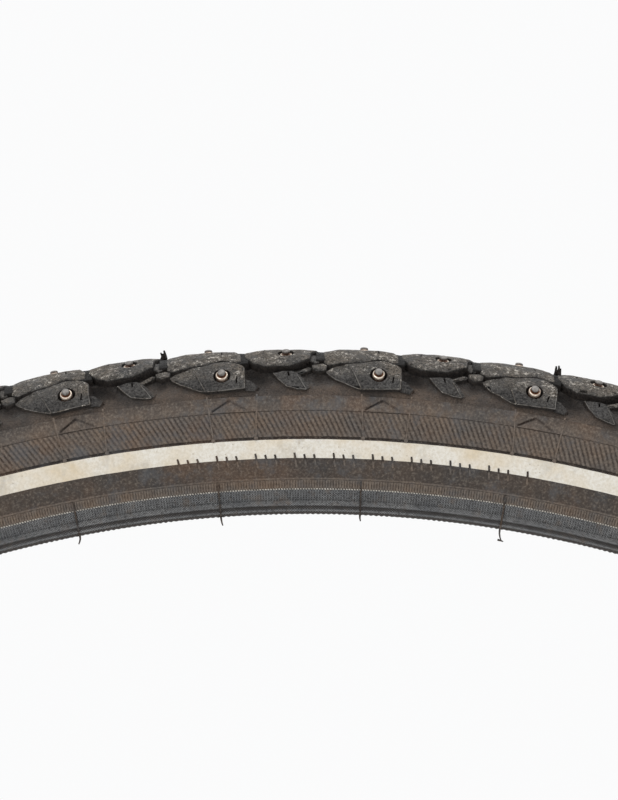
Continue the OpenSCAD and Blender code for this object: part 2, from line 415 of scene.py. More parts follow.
def repeated(patch, first, count):
    """The patch at each of count pitches from first, as one patch."""
    n = len(patch.points)
    points = np.tile(patch.points, (count, 1))
    points[:, 0] += np.repeat(np.arange(first, first + count), n)
    faces = [[c + k * n for c in f] for k in range(count) for f in patch.faces]
    return Patch(patch.place, points, faces, np.tile(patch.dust, count))


# ---- Tread blocks of one pitch, on the front ----


def level(rho):
    """A flat top, at a distance from the crown arc's centre."""
    return lambda x, s: np.full(np.shape(x), float(rho))


STUD_STEPS = [(-0.03, 0.18), (-0.12, 1.0), (-0.6, 2.2)]
SIPE_STEPS = [(0, 0.6), (0, 1.3)]


def stud_hole(u, phi, radius, sides=20):
    """A round hole, open at the bottom."""
    a = np.arange(sides) / sides * 2 * math.pi
    loop = [u * PITCH_MM + radius * np.cos(a), phi * DEGREE_MM + radius * np.sin(a)]
    return np.stack(loop, 1), STUD_STEPS, False


def sipe(u, phi, length, lean, width=0.38):
    """A narrow slot with a floor, leaning from straight across the tyre."""
    a = np.array([[-1, -1], [1, -1], [1, 1], [-1, 1]]) * [width / 2, length / 2]
    turn = math.radians(lean)
    spin = np.array([[math.cos(turn), -math.sin(turn)], [math.sin(turn), math.cos(turn)]])
    return a @ spin.T + [u * PITCH_MM, phi * DEGREE_MM], SIPE_STEPS, True


CENTRE_STUD = (0.41, 16.0)
SHOULDER_STUD = (0.0, 47.0)
# Dust-and-shade values outside 0 to 1, for which the tread's material has colours of its own: BLACK is
# painted shadow, PALE a painted highlight along worn edges
BLACK, PALE = -1.0, 1.5


def centre_top(x, s):
    """The crown arc, worn down at both ends and dished at the near left corner."""
    u, phi = x / PITCH_MM, s / DEGREE_MM
    dish = smooth(phi - 25 - (u - 0.16) * 120, 0, 12) * fade(u, 0.18, 0.33)
    ends = 0.65 * fade(u, 0.14, 0.3) ** 1.5 + 0.4 * smooth(u, 0.5, 0.63)
    roll = 0.25 * smooth(np.abs(phi - 4), 22, 36)
    return CROWN_R - 1.1 * dish - ends - roll


def crease(phi):
    """Where the stud block's ramp begins, in pitches."""
    return -0.199 + 0.094 * (phi - 32) / 31


def shoulder_top(x, s):
    """The stud block's face, with the ramp that steps down and falls away to its left."""
    u, phi = x / PITCH_MM, s / DEGREE_MM
    fall = np.maximum(0, crease(phi) - u) * PITCH_MM
    crown = 0.45 * smooth(np.abs(u), 0.04, 0.15) * fade(phi, 30, 48)
    return CROWN_R - 0.05 - 0.4 * smooth(fall, 0.1, 0.9) - 0.13 * fall - crown


def small_top(x, s):
    """The small block: a face up to a ridge, and a facet that falls away beyond it."""
    u, phi = x / PITCH_MM, s / DEGREE_MM
    ridge = 0.474 + 0.066 * (phi - 46.8) / 15
    past = np.maximum(0, u - ridge) * PITCH_MM
    rise = 0.5 * smooth(u, 0.34, 0.5)
    return 17.15 + rise - 0.55 * past


def centre_block():
    """The crown lug, with a stud hole and two sipes."""
    return plateau(
        [(0.146, 18), (0.2, 31), (0.27, 37), (0.43, 36.5), (0.5, 32), (0.562, 25.5),
         (0.567, 13), (0.625, -15), (0.625, -27), (0.58, -28), (0.5, -25), (0.4, -30.5),
         (0.27, -33), (0.19, -34.5), (0.15, -30)],
        centre_top, bevel=0.4, draft=0.25,
        holes=[stud_hole(*CENTRE_STUD, 2.2), sipe(0.27, 8, 3.2, 8), sipe(0.5, -9, 3.4, 6)],
        dust=lambda u, phi: 1.0 - 0.35 * smooth(np.abs(phi), 26, 38))


def centre_ledge():
    """The low step at the crown lug's far end."""
    return plateau(
        [(0.57, 12), (0.565, 26), (0.595, 30.5), (0.62, 29), (0.628, 12)],
        level(17.1), bevel=0.25, draft=0.2, dust=0.5)


def crown_gap_shadow():
    """A black-painted fill in the gap between crown lugs: painted shadow."""
    return plateau(
        [(0.1, -27), (0.17, -27), (0.17, 30), (0.1, 30)],
        level(CROWN_R - 0.75), bevel=0.3, draft=0.1, dust=BLACK)


def stud_block():
    """The shoulder lug with the stud: pale on top with soil, and darker towards its ramp and on its
    lower face as painted shade.
    """
    def dust(u, phi):
        return (0.72 + 0.28 * smooth(u, -0.1, 0.05)) * (1 - 0.6 * smooth(phi - 12 * u, 45, 53))

    stud_u, stud_phi = SHOULDER_STUD
    return plateau(
        [(-0.337, 40), (-0.3, 35.5), (-0.25, 33.4), (-0.138, 32), (-0.10, 31.5), (-0.05, 29.8),
         (0, 28.5), (0.06, 29.6), (0.11, 31.8), (0.142, 35.6), (0.148, 60.2), (-0.104, 62.3),
         (-0.19, 57.5), (-0.277, 50.5), (-0.32, 45)],
        shoulder_top, bevel=0.28, draft=0.85, cell=1.0,
        holes=[stud_hole(stud_u, stud_phi - 0.5, 2.35), sipe(0.093, 51.5, 2.2, 8)],
        dust=dust)


def stud_step():
    """The low step at the stud block's far end."""
    return plateau(
        [(0.142, 50), (0.178, 51.5), (0.23, 57.5), (0.206, 62.5), (0.142, 61.5)],
        lambda x, s: 17.5 - 0.3 * smooth(x / PITCH_MM, 0.16, 0.23),
        bevel=0.15, draft=0.3, cell=0.7, dust=0.26)


def stud_pad():
    """The small pad before the stud block's near end."""
    return plateau(
        [(-0.425, 33.5), (-0.36, 31), (-0.33, 33.5), (-0.336, 39.5), (-0.39, 42), (-0.42, 38.5)],
        level(17.25), bevel=0.3, draft=0.5, cell=0.8, dust=0.9)


def small_block():
    return plateau(
        [(0.328, 43), (0.387, 41.2), (0.457, 42.2), (0.487, 45), (0.579, 57.8), (0.54, 62),
         (0.487, 61.4), (0.415, 58.7), (0.362, 50.8)],
        small_top, bevel=0.2, draft=0.6, cell=0.9,
        holes=[sipe(0.424, 45.3, 1.7, -4, 0.45)],
        dust=0.35)


def small_tie():
    """The bar from the small block up to the crown."""
    return plateau(
        [(0.452, 43.4), (0.472, 46), (0.562, 39.6), (0.576, 36.6), (0.55, 35.2)],
        level(16.9), bevel=0.2, draft=0.2, dust=0.75)


def edge_lines(lines, top):
    """Fine ridges along lines of places on a block's top, given PALE values: painted highlights along
    worn block edges.
    """
    def base(u, phi):
        return top(u * PITCH_MM, phi * DEGREE_MM)

    return [bar(from_tread, ends, 0.24, 0.1, base, PALE, fade_over=0.02)
            for line in lines for ends in zip(line, line[1:])]


def pitch_blocks():
    """The blocks of one pitch, by the row they are part of."""
    # The lower edge, the crease of the ramp, and the two edges at the far end
    stud_edges = edge_lines([
        [(-0.33, 41.5), (-0.315, 45.2), (-0.274, 50.3), (-0.188, 57.1), (-0.108, 61.9)],
        [(crease(34), 34), (crease(61.5), 61.5)],
        [(-0.1, 61.9), (0.144, 60), (0.14, 38)],
    ], shoulder_top)
    # The lower edge, and the ridge across the face
    small_edges = edge_lines([
        [(0.33, 43.3), (0.364, 50.8), (0.415, 58.5), (0.487, 61.2), (0.537, 61.8)],
        [(0.477, 47.3), (0.539, 61.3)],
    ], small_top)
    return {
        "centre": [centre_block(), centre_ledge(), crown_gap_shadow()],
        "shoulder": [stud_block(), stud_step(), stud_pad(), *stud_edges],
        "lug": [small_block(), small_tie(), *small_edges],
    }


def recess(u, phi):
    """How deep the groove floor is cut: a pit past each stud block, and a hollow before it."""
    v = from_column(u)
    pit = near(v, 0.18 + 0.006 * (phi - 40), 0.105, 0.04) * smooth(phi, 31, 38) * fade(phi, 60, 66)
    hollow = near(v, -0.375, 0.06, 0.02) * near(phi, 50, 9, 3)
    return np.maximum(0.95 * pit, 0.4 * hollow)


def floor_sheet(first, count):
    """The groove floor, from front to back so that its faces look outwards."""
    us = columns(first, count, PLAIN_COLUMNS)
    degrees_back = np.arange(-SHOULDER_PHI, SHOULDER_PHI + 0.1, 2.4)

    def cut(u, back):
        return recess(u, -back) + recess(u + 0.5, back)

    def shape(u, back):
        return u, -back, floor_rho(back) - cut(u, back)

    # A dark floor, darker still in the recesses: painted shade with dirt; paler towards the shoulders
    def dust(u, back):
        return 0.12 + 0.4 * smooth(np.abs(back), 46, 60) - 0.33 * cut(u, back)

    return sheet(from_tread, us, degrees_back, shape, dust)


# ---- Sidewall ----

RIB_LEAN = math.tan(math.radians(27))
RIBS = 30
FINE_RIBS = 53
# A rib takes four columns: its groove, its two raised ones and the one that falls again
RIB_HEIGHTS = np.array([-0.21, 0.06, 0.1, 0.0])
# Painted shade in each rib's groove and painted highlight on its raised columns
RIB_SHADING = np.array([0.16, 0.6, 0.78, 0.5])
GROOVE_H = 20.2
BORDER_H = 27.1
BUTTRESS = (27.25, 31.06)
LINE_H = 9.5
LINE_BAND = (9.12, 9.85)


def plain_side(first, count, per_pitch, heights, out, dust):
    """The sidewall, with a row of corners at each height."""
    us = columns(first, count, per_pitch)

    def shape(u, h):
        return u, h, out(u, h) if callable(out) else np.full(u.shape, float(out))

    return sheet(from_side, us, np.array(heights), shape, dust)


def ribbed_band(first, count):
    """Slanting ribs, fainter over the columns under the stud blocks."""
    us = columns(first, count, RIBS * 4)
    rows = np.linspace(0, 1, 6)

    def quarter(u):
        return np.round(u * RIBS * 4).astype(int) % 4

    def shape(u, t):
        h = BAND[0] + (BAND[1] - BAND[0]) * t
        slide = (BAND[1] - h) * RIB_LEAN / SIDE_PITCH_MM
        faint = near(from_column(u + slide), 0.06, 0.17, 0.13)
        ends = smooth(t, 0, 0.12) * fade(t, 0.9, 1)
        return u + slide, h, RIB_HEIGHTS[quarter(u)] * (1 - 0.55 * faint) * ends

    def dust(u, t):
        return RIB_SHADING[quarter(u)]

    return sheet(from_side, us, rows, shape, dust)


def fine_wave(u):
    """The height of the fine radial ribs, from -1 to 1."""
    return np.cos(2 * math.pi * u * FINE_RIBS)


def fine_ribs(first, count, low, high):
    """A band of fine radial ribs."""
    us = columns(first, count, FINE_RIBS * 4)
    heights = np.linspace(low, high, 5)

    def shape(u, h):
        ends = smooth(h, low, low + 0.25) * fade(h, high - 0.25, high)
        return u, h, 0.18 * fine_wave(u) * ends

    # Painted highlight on the crests and painted shade in the grooves
    def dust(u, h):
        return 0.85 + 0.4 * fine_wave(u)

    return sheet(from_side, us, heights, shape, dust)


def chevron(u, h):
    """A groove shaped like a roof under each stud block, its far side fainter."""
    v = from_column(u)
    ridge_v, half_width, eaves_h, rise = 0.036, 0.12, 27.5, 2.6
    roof = 1 - np.abs(v - ridge_v) / half_width
    strength = np.where(v < ridge_v, 1.0, 0.55)
    return strength * near((h - eaves_h) / rise, roof, 0.17, 0.03) * smooth(roof, 0.0, 0.1)


def buttress(u, h):
    """The column under each stud block stands a little proud."""
    v = from_column(u)
    inset = 0.012 * (h - 27) / 5
    column = smooth(v, -0.105 - inset, -0.09 - inset) * fade(v, 0.21 + inset, 0.225 + inset)
    return 0.32 * column - 0.5 * chevron(u, h)


def buttress_shade(u, h):
    # Darker towards the top, and darker in the chevron groove as painted shade
    return 0.5 - 0.22 * smooth(h, 28.5, 31) - 0.7 * chevron(u, h)


def band_at(middle, reach, full, value, base=0.0):
    """A value that is reached round the tyre at one height, and falls to base beside it."""
    return lambda u, h: base + value * near(h, middle, reach, full)


def side_patches(first, count):
    """Sheets of the sidewall, from the buttress down to the rim strip."""
    border = band_at(BORDER_H, 0.2, 0.05, -0.14)
    groove = band_at(GROOVE_H, 0.3, 0.1, -0.35)
    line = band_at(LINE_H, 0.3, 0.08, 0.24)
    line_dust = band_at(LINE_H, 0.28, 0.08, 0.5, 0.25)

    def plain(heights, out, dust):
        return plain_side(first, count, PLAIN_COLUMNS, heights, out, dust)

    return [
        plain_side(first, count, 96, np.linspace(*BUTTRESS, 16), buttress, buttress_shade),
        # Grooves get low values: painted shade at the border, above the stripe and at the strip's top
        # edge
        plain([BAND[1], 27.04, BORDER_H, 27.16, BUTTRESS[0]], border, 0.35),
        ribbed_band(first, count),
        plain([STRIPE[1], 19.86, 19.95, 20.1, 20.3, 20.45, BAND[0]], groove, 0.1),
        plain([LINE_BAND[1], 11, 12.5, 14, STRIPE[0]], 0.0, 0.22),
        plain([LINE_BAND[0], 9.2, 9.3, 9.4, 9.6, 9.7, LINE_BAND[1]], line, line_dust),
        fine_ribs(first, count, 7.0, LINE_BAND[0]),
        plain([STRIP_TOP, 7.0], -0.12, 0.1),
    ]


def mould_lines():
    """Thin ridges down the buttress, with a vent mark at the foot of each."""
    out = []
    for top_u, foot_u in ((-0.104, -0.083), (0.219, 0.203)):
        ends = (top_u, 31.6), (foot_u, 20.6)
        out.append(bar(from_side, ends, 0.5, 0.24, 0.1, 0.72, steps=12, fade_over=0.03))
        out.append(dome(foot_u, GROOVE_H + 0.05, 0.62, 0.45, 0.05, 0.75))
    return out


def size_ticks():
    """Plain ticks across the stripe's lower edge, where such tyres carry markings."""
    def dust(t, k):
        return 0.05 + 0.75 * smooth(t, 0.4, 0.6)

    out = []
    for k in range(38):
        if k % 4 == 0:
            continue
        u = -1.4 + k * 0.066
        foot, head = (12.6, 16.3) if k % 4 == 1 else (12.9, 15.9)
        ends = ((u, head), (u + 0.012, foot))
        out.append(bar(from_side, ends, 0.62, 0.36, 0.0, dust, steps=8, fade_over=0.15))
    return out


# ---- Materials ----


def linear(colour):
    """A socket's linear colour for a screen colour of 0 to 255."""
    def one(c):
        c /= 255
        return c / 12.92 if c <= 0.04045 else ((c + 0.055) / 1.055) ** 2.4

    return (*map(one, colour), 1.0)


class Look:
    """A node material that reads the meshes' dust-and-shade values (soil, painted shade and painted
    highlights) and the places on the tyre.
    """

    def __init__(self, name, specular=0.5, metallic=0.0):
        self.material = bpy.data.materials.new(name)
        self.material.use_nodes = True
        self.tree = self.material.node_tree
        self.bsdf = self.tree.nodes["Principled BSDF"]
        self.bsdf.inputs["Specular IOR Level"].default_value = specular
        self.bsdf.inputs["Metallic"].default_value = metallic
        self.at = self.node("ShaderNodeTexCoord").outputs["Object"]

    def node(self, kind, inputs=None, **settings):
        node = self.tree.nodes.new(kind)
        for key, value in settings.items():
            setattr(node, key, value)
        for key, value in (inputs or {}).items():
            self.put(node.inputs[key], value)
        return node

    def put(self, socket, value):
        """Links a socket to a node's output, or sets it to a number or a screen colour."""
        if isinstance(value, bpy.types.NodeSocket):
            self.tree.links.new(value, socket)
        elif isinstance(value, tuple):
            socket.default_value = linear(value)
        else:
            socket.default_value = value

    def math(self, operation, *values):
        node = self.node("ShaderNodeMath", operation=operation)
        for socket, value in zip(node.inputs, values):
            self.put(socket, value)
        return node.outputs[0]

    def times(self, a, b):
        return self.math("MULTIPLY", a, b)

    def plus(self, a, b):
        return self.math("ADD", a, b)

    def noise(self, scale, detail=4.0, rough=0.6):
        return self.node("ShaderNodeTexNoise", {
            "Vector": self.at, "Scale": scale, "Detail": detail, "Roughness": rough,
        }).outputs["Fac"]

    def dust(self):
        return self.node("ShaderNodeAttribute", attribute_name="dust").outputs["Fac"]

    def xyz(self):
        return self.node("ShaderNodeSeparateXYZ", {"Vector": self.at}).outputs

    def ramp(self, value, low, high, out_low=0.0, out_high=1.0):
        return self.node("ShaderNodeMapRange", {
            "Value": value, "From Min": low, "From Max": high,
            "To Min": out_low, "To Max": out_high,
        }).outputs["Result"]

    def mix(self, factor, a, b):
        node = self.node("ShaderNodeMix", data_type="RGBA")
        self.put(node.inputs[0], factor)
        self.put(node.inputs[6], a)
        self.put(node.inputs[7], b)
        return node.outputs[2]

    def mottle(self, scale, detail, rough, low, high, dark, pale):
        return self.mix(self.ramp(self.noise(scale, detail, rough), low, high), dark, pale)

    def tint(self, factor, colour):
        """Lays a colour over the one so far."""
        self.colour = self.mix(factor, self.colour, colour)

    def polar(self):
        """Millimetres from the axle, and degrees round it."""
        part = self.xyz()
        squares = self.plus(self.times(part["X"], part["X"]), self.times(part["Z"], part["Z"]))
        turn = self.math("ARCTAN2", part["X"], part["Z"])
        return self.times(self.math("SQRT", squares), 1000.0), self.times(turn, 180 / math.pi)

    def bump(self, *layers):
        """Stacked bumps, each (height, distance in metres, strength)."""
        normal = None
        for height, distance, strength in layers:
            inputs = {"Height": height, "Distance": distance, "Strength": strength}
            if normal:
                inputs["Normal"] = normal
            normal = self.node("ShaderNodeBump", inputs).outputs["Normal"]
        self.put(self.bsdf.inputs["Normal"], normal)

    def finish(self, roughness):
        self.put(self.bsdf.inputs["Base Color"], self.colour)
        self.put(self.bsdf.inputs["Roughness"], roughness)
        return self.material


def charcoal(look, dust, fine):
    """Walls and hollows dark as painted shade, faces with soil, pits and grit, and painted highlights on
    the PALE ridges. Gives back where soil lies.
    """
    soil_and_shade = look.math("MINIMUM", dust, 1.0)
    body = look.mix(look.ramp(fine, 0.38, 0.62), (24, 23, 23), (88, 86, 84))
    soil = look.mottle(1900, 4, 0.75, 0.38, 0.62, (38, 34, 30), (126, 117, 106))
    # Near 0 the colour falls to this dark one: painted shade on walls, floors and hole sides
    low = look.mix(look.ramp(fine, 0.38, 0.62), (18, 15, 14), (48, 41, 36))
    look.colour = look.mix(look.ramp(soil_and_shade, 0.02, 0.4), low, body)
    patches = look.ramp(look.noise(130, 5, 0.7), 0.36, 0.6)
    look.tint(look.times(look.ramp(soil_and_shade, 0.3, 1.0), patches), soil)
    pits = look.times(look.ramp(look.noise(620, 5, 0.8), 0.44, 0.36), look.ramp(soil_and_shade, 0.3, 0.9))
    look.tint(look.times(pits, 0.8), (22, 20, 19))
    grit = look.ramp(look.noise(900, 5, 0.85), 0.53, 0.6)
    grit = look.times(grit, look.ramp(look.noise(230, 4, 0.75), 0.45, 0.57))
    grit = look.times(grit, look.ramp(soil_and_shade, 0.35, 1.0))
    look.tint(grit, (212, 205, 194))
    # Pale tint on the PALE ridges: painted highlight along worn block edges
    ridge = look.ramp(look.noise(360, 4), 0.45, 0.62, 0.08, 1)
    ridge = look.times(look.ramp(dust, 1.05, PALE), ridge)
    look.tint(ridge, (116, 113, 109))
    return patches


def brown_edge(look, fine):
    """Where brown dust lies at the floor's edge, and its colour."""
    wide = look.math("ABSOLUTE", look.times(look.xyz()["Y"], 1000.0))
    r, _ = look.polar()
    up = look.math("SUBTRACT", r, BEAD_R + CROWN_H)
    rho = look.math("SQRT", look.plus(look.times(up, up), look.times(wide, wide)))
    edge = look.times(look.ramp(rho, 17.3, 16.7), look.ramp(wide, 9.5, 13.0))
    brown = look.mottle(90, 5, 0.7, 0.35, 0.65, (64, 59, 56), (98, 84, 73))
    brown = look.mix(look.ramp(fine, 0.42, 0.62, 0, 0.42), brown, (38, 34, 32))
    uneven = look.plus(r, look.ramp(look.noise(140, 4, 0.7), 0.3, 0.7, -1.6, 1.6))
    return look.times(edge, look.ramp(uneven, 346.0, 343.6, 0.12, 1.0)), brown


def tread_rubber():
    """Charcoal rubber, browner towards the sidewall, and black as painted shadow where the value is
    below 0.
    """
    look = Look("tread_rubber", specular=0.3)
    dust = look.dust()
    fine = look.noise(1700, 4, 0.75)
    patches = charcoal(look, dust, fine)
    look.tint(*brown_edge(look, fine))
    # Painted shadow: black where the value is below 0
    look.tint(look.ramp(dust, 0.02, -0.35), (17, 14, 12))
    look.bump((fine, 0.0008, 0.8), (look.noise(520, 4, 0.7), 0.0018, 0.85))
    return look.finish(look.ramp(patches, 0, 1, 0.5, 0.8))


def sidewall_rubber():
    """Brown-grey rubber, dark in its hollows as painted shade and paler on raised edges as painted
    highlight.
    """
    look = Look("sidewall_rubber", specular=0.25)
    dust = look.dust()
    broad = look.noise(90, 5, 0.7)
    fine = look.noise(1500, 4, 0.7)
    # Low values give the dark colour and high ones the pale: painted shade in hollows, painted highlight
    # on crests
    dark = look.mix(look.ramp(broad, 0.35, 0.65), (38, 34, 32), (54, 45, 39))
    pale = look.mix(look.ramp(broad, 0.35, 0.65), (98, 93, 89), (116, 101, 88))
    look.colour = look.mix(look.ramp(dust, 0.0, 0.95), dark, pale)
    look.tint(look.ramp(look.noise(60, 4, 0.6), 0.52, 0.7, 0, 0.5), (104, 80, 62))
    look.tint(look.ramp(fine, 0.5, 0.66, 0, 0.4), (40, 36, 33))
    look.tint(look.ramp(fine, 0.48, 0.34, 0, 0.3), (140, 130, 118))
    look.tint(look.ramp(look.noise(170, 4, 0.7), 0.52, 0.68, 0, 0.5), (82, 84, 87))
    look.bump((fine, 0.0002, 0.4), (look.noise(300, 3), 0.0005, 0.35))
    return look.finish(look.ramp(fine, 0.35, 0.65, 0.55, 0.8))


def stripe_film():
    """Off-white reflective tape: fine glass-bead grain, ochre stains and grey smears."""
    look = Look("reflective_stripe", specular=0.5)
    stain = look.ramp(look.noise(55, 5, 0.65), 0.46, 0.7)
    smear = look.ramp(look.noise(160, 5, 0.7), 0.52, 0.7)
    look.colour = look.mix(look.times(stain, 0.85), (219, 215, 206), (204, 184, 150))
    look.tint(look.times(smear, 0.7), (170, 165, 157))
    look.tint(look.ramp(look.noise(1300, 4, 0.75), 0.42, 0.6, 0, 0.42), (184, 172, 150))
    cells = look.node("ShaderNodeTexVoronoi", {"Vector": look.at, "Scale": 700})
    specks = look.ramp(cells.outputs["Distance"], 0.16, 0.06)
    specks = look.times(specks, look.ramp(look.noise(90, 2), 0.5, 0.6))
    look.tint(look.times(specks, 0.6), (130, 112, 88))
    look.bump((look.noise(3000, 2), 0.00005, 0.3), (look.noise(240, 3), 0.0002, 0.25))
    return look.finish(look.ramp(smear, 0, 1, 0.42, 0.6))


ROUND_GAP = 0.6


def strip_weave():
    """Blue-grey rubberised monofilament: radial threads crossed by fine rounds."""
    look = Look("rim_strip", specular=0.35)
    r, turn = look.polar()
    rounds = look.math("SINE", look.times(r, 2 * math.pi / ROUND_GAP))
    threads = look.math("COSINE", look.times(turn, math.pi / 180 * PITCHES * FINE_RIBS))
    weave = look.times(rounds, threads)
    dust = look.dust()
    fine = look.noise(1800, 3, 0.7)
    body = look.mottle(90, 4, 0.65, 0.35, 0.65, (88, 90, 93), (112, 112, 112))
    # Dark where the value is low: painted shade in the dark line and the rib grooves
    look.colour = look.mix(look.ramp(dust, 0, 0.8), (34, 33, 34), body)
    worn = look.ramp(look.noise(200, 4, 0.7), 0.4, 0.6, 0.25, 1)
    over = look.times(look.ramp(weave, 0.2, 0.8, 0, 0.7), worn)
    look.tint(over, (158, 158, 157))
    under = look.times(look.ramp(weave, -0.2, -0.8, 0, 0.35), worn)
    look.tint(under, (56, 56, 57))
    look.tint(look.ramp(fine, 0.5, 0.62, 0, 0.7), (40, 38, 38))
    look.tint(look.ramp(look.noise(300, 4), 0.56, 0.72, 0, 0.5), (96, 84, 74))
    look.tint(look.ramp(dust, 0.0, -0.35), (46, 40, 36))
    look.bump((weave, 0.00015, 0.5), (fine, 0.0002, 0.4))
    return look.finish(look.ramp(fine, 0.3, 0.7, 0.42, 0.62))


def stitch_thread():
    look = Look("stitch_thread", specular=0.4)
    look.colour = look.mottle(600, 3, 0.6, 0.35, 0.65, (146, 140, 131), (208, 202, 192))
    look.bump((look.noise(2500, 2), 0.0001, 0.4))
    return look.finish(look.ramp(look.noise(400, 2), 0.3, 0.7, 0.55, 0.75))


def stud_steel():
    """Plated steel, golden with rust towards the rubber."""
    look = Look("stud_steel", metallic=0.75)
    rust = look.ramp(look.noise(700, 4, 0.7), 0.45, 0.65)
    low = look.math("SUBTRACT", 1.0, look.dust())
    spread = look.math("MAXIMUM", look.times(rust, 0.6), low)
    look.colour = look.mix(spread, (232, 220, 204), (120, 76, 50))
    look.bump((look.noise(1500, 3), 0.0001, 0.4))
    return look.finish(look.ramp(rust, 0, 1, 0.32, 0.6))


def stud_carbide():
    look = Look("stud_carbide", metallic=0.6)
    fine = look.noise(1400, 4, 0.7)
    look.colour = look.mix(look.ramp(fine, 0.35, 0.65), (96, 93, 90), (138, 134, 130))
    # Painted shadow: brown towards the pin's foot
    look.tint(look.ramp(look.dust(), 0.5, 0.0), (66, 48, 38))
    look.bump((fine, 0.00015, 0.5))
    return look.finish(look.ramp(fine, 0.3, 0.7, 0.35, 0.6))


CORD_GAP = 0.9


def cord_fabric(name, dark, light, lean):
    """Slanting cords under a thin skin of rubber."""
    look = Look(name, specular=0.3)
    _, turn = look.polar()
    along = look.times(turn, math.pi / 180 * BEAD_R)
    across = look.times(look.xyz()["Y"], 1000.0 * lean)
    cords = look.math("SINE", look.times(look.plus(along, across), 2 * math.pi / CORD_GAP))
    look.colour = look.mix(look.ramp(cords, -1, 1), dark, light)
    look.tint(look.ramp(look.noise(80, 4), 0.5, 0.75, 0, 0.5), (70, 60, 50))
    look.bump((cords, 0.0002, 0.5), (look.noise(900, 3), 0.0001, 0.3))
    return look.finish(look.ramp(look.noise(200, 3), 0.3, 0.7, 0.6, 0.8))


def speckled(look, grain, dark, light, bump, rough):
    """A plain material, mottled between two colours."""
    fine = look.noise(*grain)
    look.colour = look.mix(look.ramp(fine, 0.3, 0.7), dark, light)
    look.bump((fine, *bump))
    return look.finish(look.ramp(fine, 0.3, 0.7, *rough))


def inner_rubber():
    look = Look("inner_rubber", specular=0.3)
    return speckled(look, (500, 4, 0.7), (40, 39, 39), (58, 56, 55), (0.0002, 0.4), (0.55, 0.75))


def bead_steel():
    look = Look("bead_steel", metallic=0.9)
    return speckled(look, (900, 3), (176, 150, 110), (200, 178, 140), (0.00005, 0.3), (0.25, 0.4))


def studio_floor():
    look = Look("studio_floor", specular=0.2)
    fine = look.noise(30, 3)
    look.colour = look.mix(look.ramp(fine, 0.3, 0.7), (238, 238, 237), (243, 243, 242))
    return look.finish(0.75)


# ---- Rim strip: heel, foot and toe of the bead ----

HEEL = (1.3, 9.8)
HEEL_R = 1.3
TOE_OUT, TOE_R = 7.0, 0.5
SKIN_CENTRE, SKIN_R = (21.3, -14.65), 27.95
SKIN_TOP = 9.0
# Rows of the profile, from its top down, that carry the outside's relief
RELIEF_ROWS = 31


def strip_profile():
    """(h, front, direction out) down the outside, round the foot and up the inside skin."""
    rows = []
    for h in np.concatenate([np.linspace(STRIP_TOP, 2.4, 24), [2.2, 2.0, 1.8, 1.5, 1.15]]):
        lean = math.asin((BELLY - h) / FLANK_R)
        rows.append((h, float(flank(h)), -math.sin(lean), math.cos(lean)))
    first = math.asin((BELLY - HEEL[0]) / (FLANK_R - HEEL_R))
    for a in np.linspace(first, math.pi / 2, 7)[1:]:
        rows.append((HEEL[0] - HEEL_R * math.sin(a), HEEL[1] + HEEL_R * math.cos(a),
                     -math.sin(a), math.cos(a)))
    for front in (9.1, 8.3):
        rows.append((0.0, front, -1.0, 0.0))
    for a in np.linspace(0, math.pi / 2, 4):
        rows.append((TOE_R - TOE_R * math.cos(a), TOE_OUT + TOE_R - TOE_R * math.sin(a),
                     -math.cos(a), -math.sin(a)))
    foot = SKIN_CENTRE[0] - math.sqrt(SKIN_R**2 - (TOE_OUT - SKIN_CENTRE[1]) ** 2)
    rows.append((foot - 0.2, TOE_OUT, 0.0, -1.0))
    for h in np.linspace(foot + 0.2, SKIN_TOP, 7):
        front = SKIN_CENTRE[1] + math.sqrt(SKIN_R**2 - (h - SKIN_CENTRE[0]) ** 2)
        rows.append((h, front, (h - SKIN_CENTRE[0]) / -SKIN_R, -(front - SKIN_CENTRE[1]) / SKIN_R))
    rows.append((SKIN_TOP + 0.15, rows[-1][1] + 0.45, 1.0, 0.0))
    return np.array(rows)


def strip_sheet(first, count):
    """Fine radial ribs, a row of dimples, a dark line, the bead roll and a serrated foot."""
    rows = strip_profile()
    us = columns(first, count, FINE_RIBS * 4)

    def relief(u, h, outside):
        wave = fine_wave(u)
        ribs = 0.1 * wave * smooth(h, 3.2, 4.2) * fade(h, 6.3, 6.55)
        dimples = -0.22 * near(h, 3.8, 0.42, 0.12) * (wave < 0.2)
        line = -0.3 * near(h, 1.8, 0.5, 0.15)
        roll = 0.25 * near(h, 1.0, 0.45, 0.1)
        uneven = 0.65 + 0.35 * np.sin(u * 23.0) * np.sin(u * 7.3 + 1)
        teeth = 0.12 * uneven * np.cos(math.pi * u * FINE_RIBS) * fade(h, 0.1, 0.6)
        edge = -0.15 * smooth(h, 6.62, 6.78)
        return np.where(outside, ribs + dimples + line + roll + edge, 0.0) + teeth

    def shape(u, k):
        h, front, up, out = rows[k.astype(int)].T
        d = relief(u, h, (k < RELIEF_ROWS) & (out > 0))
        return u, h + d * up, front + d * out

    def dust(u, k):
        h = rows[k.astype(int), 0]
        on_ribs = (h > 2.5) & (h < 6.6)
        # Painted shade and highlight: dark rib grooves, pale crests, a painted highlight line at h 2.6
        # and on the bead roll, painted shade in the dark line at h 1.85
        ribs = np.where(on_ribs, 0.5 + 0.25 * fine_wave(u) * smooth(h, 3.2, 4.5), 0.35)
        shine = 0.25 * near(h, 2.6, 0.3, 0.1)
        roll = 0.5 * near(h, 1.0, 0.35, 0.15)
        dark = 0.5 * near(h, 1.85, 0.65, 0.4)
        foot = 1.2 * fade(h, 0.5, 0.8)
        return np.clip(ribs + shine + roll - dark - foot, -0.5, 1)

    patch = sheet(from_section, us, np.arange(len(rows)), shape, dust)
    # The profile runs down the outside, so its faces are turned over
    patch.faces = [f[::-1] for f in patch.faces]
    return patch


